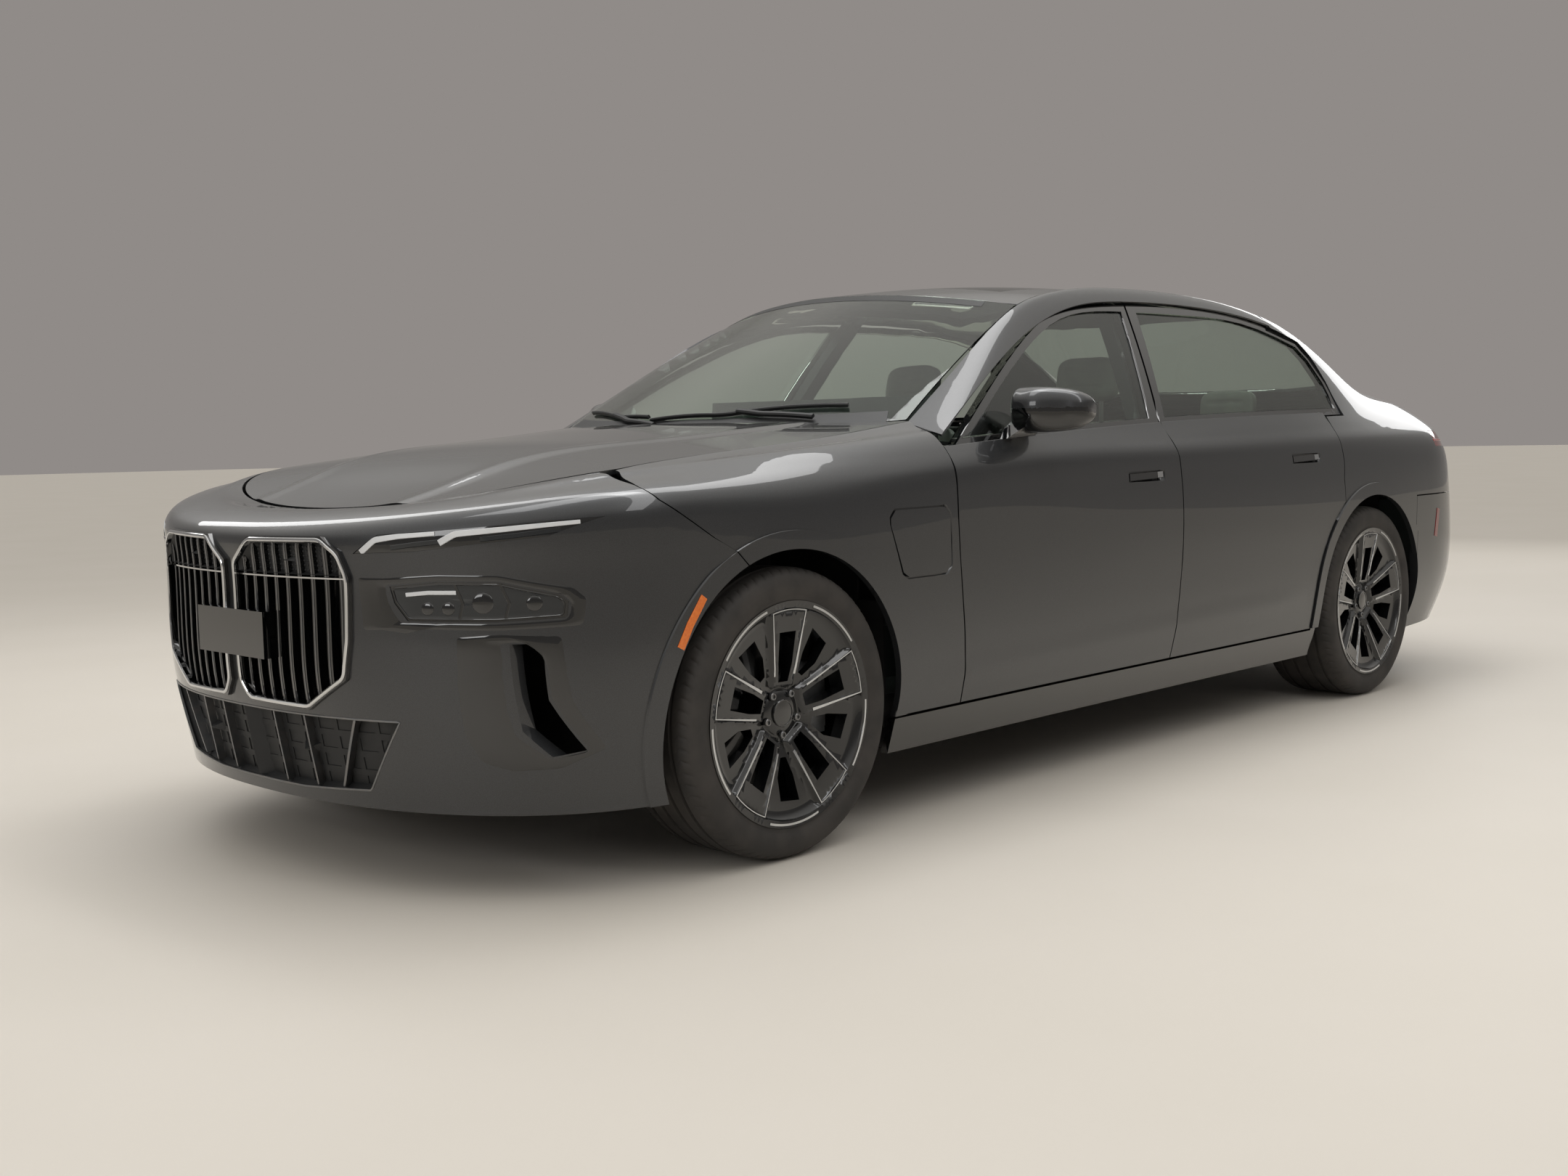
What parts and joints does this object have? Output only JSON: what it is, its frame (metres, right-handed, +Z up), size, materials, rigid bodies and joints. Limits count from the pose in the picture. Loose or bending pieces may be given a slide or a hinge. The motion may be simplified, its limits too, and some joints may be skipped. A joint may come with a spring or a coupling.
{
  "type": "sedan car",
  "caption": "Long four-door luxury sedan in dark metallic paint, with tall twin grilles, slim lamps, broad wheels, hinged doors, bonnet, boot lid and flaps, and steered front wheels.",
  "frame": {"origin": "on the floor under the centre of the car's box", "axes": "+Z up; the car faces -Y, its left side is at +X, and its length runs along Y"},
  "size_m": [2.192, 5.389, 1.5452],
  "materials": {
    "paint": "gloss",
    "black_trim": "gloss",
    "black_plastic": "satin",
    "bright_trim": "polished",
    "lamp_lens": "clear",
    "red_lens": "gloss",
    "amber_lens": "gloss",
    "window_glass": "clear",
    "dark_glass": "clear",
    "underbody": "matte",
    "cast": "satin",
    "steel": "satin",
    "wheel_metal": "gloss",
    "wheel_face": "machined",
    "tyre": "satin",
    "cabin_plastic": "satin",
    "cabin_leather": "satin"
  },
  "bodies": {
    "car_body": {"floor_pan": "underbody", "body_frame": "paint", "fender_left": "paint", "fender_right": "paint", "front_bumper": "paint", "front_grille": "black_trim", "headlamps": "lamp_lens", "windscreen": "window_glass", "rear_window": "window_glass", "roof_glass": "dark_glass", "rear_bumper": "paint", "tail_lamps": "red_lens", "sill_trims": "black_plastic", "engine_block": "cast", "dashboard": "cabin_plastic", "front_seats": "cabin_leather", "rear_seat": "cabin_leather", "front_subframe": "steel", "rear_subframe": "steel"},
    "bonnet": {"bonnet": "paint"},
    "boot_lid": {"boot_lid": "paint", "lid_lamps": "red_lens"},
    "charge_flap": {"charge_flap": "paint"},
    "fuel_flap": {"fuel_flap": "paint"},
    "steering_wheel": {"steering_wheel": "cabin_leather"},
    "knuckle_left": {"knuckle_left": "steel"},
    "knuckle_right": {"knuckle_right": "steel"},
    "door_front_left": {"door_front_left": "paint", "door_glass_front_left": "window_glass", "mirror_left": "paint"},
    "door_rear_left": {"door_rear_left": "paint", "door_glass_rear_left": "window_glass"},
    "wheel_front_left": {"rim_front_left": "wheel_metal", "tyre_front_left": "tyre"},
    "wheel_rear_left": {"rim_rear_left": "wheel_metal", "tyre_rear_left": "tyre"},
    "door_front_right": {"door_front_right": "paint", "door_glass_front_right": "window_glass", "mirror_right": "paint"},
    "door_rear_right": {"door_rear_right": "paint", "door_glass_rear_right": "window_glass"},
    "wheel_front_right": {"rim_front_right": "wheel_metal", "tyre_front_right": "tyre"},
    "wheel_rear_right": {"rim_rear_right": "wheel_metal", "tyre_rear_right": "tyre"}
  },
  "joints": [
    {"name": "door_front_left_hinge", "type": "hinge", "parent": "car_body", "child": "door_front_left", "pos_m": [0.96, -1.057, 0.62], "axis": [0, 0, -1], "range_deg": [0, 68]},
    {"name": "door_rear_left_hinge", "type": "hinge", "parent": "car_body", "child": "door_rear_left", "pos_m": [0.96, 0.07, 0.62], "axis": [0, 0, -1], "range_deg": [0, 68]},
    {"name": "steering_left", "type": "hinge", "parent": "car_body", "child": "knuckle_left", "pos_m": [0.8, -1.7255, 0.363], "axis": [0, 0, 1], "range_deg": [-35, 35]},
    {"name": "wheel_front_left_spin", "type": "hinge", "parent": "knuckle_left", "child": "wheel_front_left", "pos_m": [0.8325, -1.7255, 0.363], "axis": [1, 0, 0], "continuous": true},
    {"name": "wheel_rear_left_spin", "type": "hinge", "parent": "car_body", "child": "wheel_rear_left", "pos_m": [0.825, 1.4895, 0.363], "axis": [1, 0, 0], "continuous": true},
    {"name": "door_front_right_hinge", "type": "hinge", "parent": "car_body", "child": "door_front_right", "pos_m": [-0.96, -1.057, 0.62], "axis": [0, 0, 1], "range_deg": [0, 68]},
    {"name": "door_rear_right_hinge", "type": "hinge", "parent": "car_body", "child": "door_rear_right", "pos_m": [-0.96, 0.07, 0.62], "axis": [0, 0, 1], "range_deg": [0, 68]},
    {"name": "steering_right", "type": "hinge", "parent": "car_body", "child": "knuckle_right", "pos_m": [-0.8, -1.7255, 0.363], "axis": [0, 0, 1], "range_deg": [-35, 35]},
    {"name": "wheel_front_right_spin", "type": "hinge", "parent": "knuckle_right", "child": "wheel_front_right", "pos_m": [-0.8325, -1.7255, 0.363], "axis": [1, 0, 0], "continuous": true},
    {"name": "wheel_rear_right_spin", "type": "hinge", "parent": "car_body", "child": "wheel_rear_right", "pos_m": [-0.825, 1.4895, 0.363], "axis": [1, 0, 0], "continuous": true},
    {"name": "bonnet_hinge", "type": "hinge", "parent": "car_body", "child": "bonnet", "pos_m": [0, -1.0205, 1.1], "axis": [-1, 0, 0], "range_deg": [0, 55]},
    {"name": "boot_lid_hinge", "type": "hinge", "parent": "car_body", "child": "boot_lid", "pos_m": [0, 1.8745, 1.2], "axis": [1, 0, 0], "range_deg": [0, 80]},
    {"name": "charge_flap_hinge", "type": "hinge", "parent": "car_body", "child": "charge_flap", "pos_m": [0.965, -1.3575, 0.757], "axis": [0, 0, -1], "range_deg": [0, 85]},
    {"name": "fuel_flap_hinge", "type": "hinge", "parent": "car_body", "child": "fuel_flap", "pos_m": [-0.973, 1.8675, 0.89], "axis": [0, 0, 1], "range_deg": [0, 85]},
    {"name": "steering_wheel_turn", "type": "hinge", "parent": "car_body", "child": "steering_wheel", "pos_m": [0.38, -0.5755, 0.88], "axis": [0, 0.9135, 0.4067], "range_deg": [-492, 492]}
  ],
  "couplings": [
    {"joint": "steering_right", "follows": "steering_left", "ratio": 1},
    {"joint": "steering_wheel_turn", "follows": "steering_left", "ratio": 14}
  ]
}
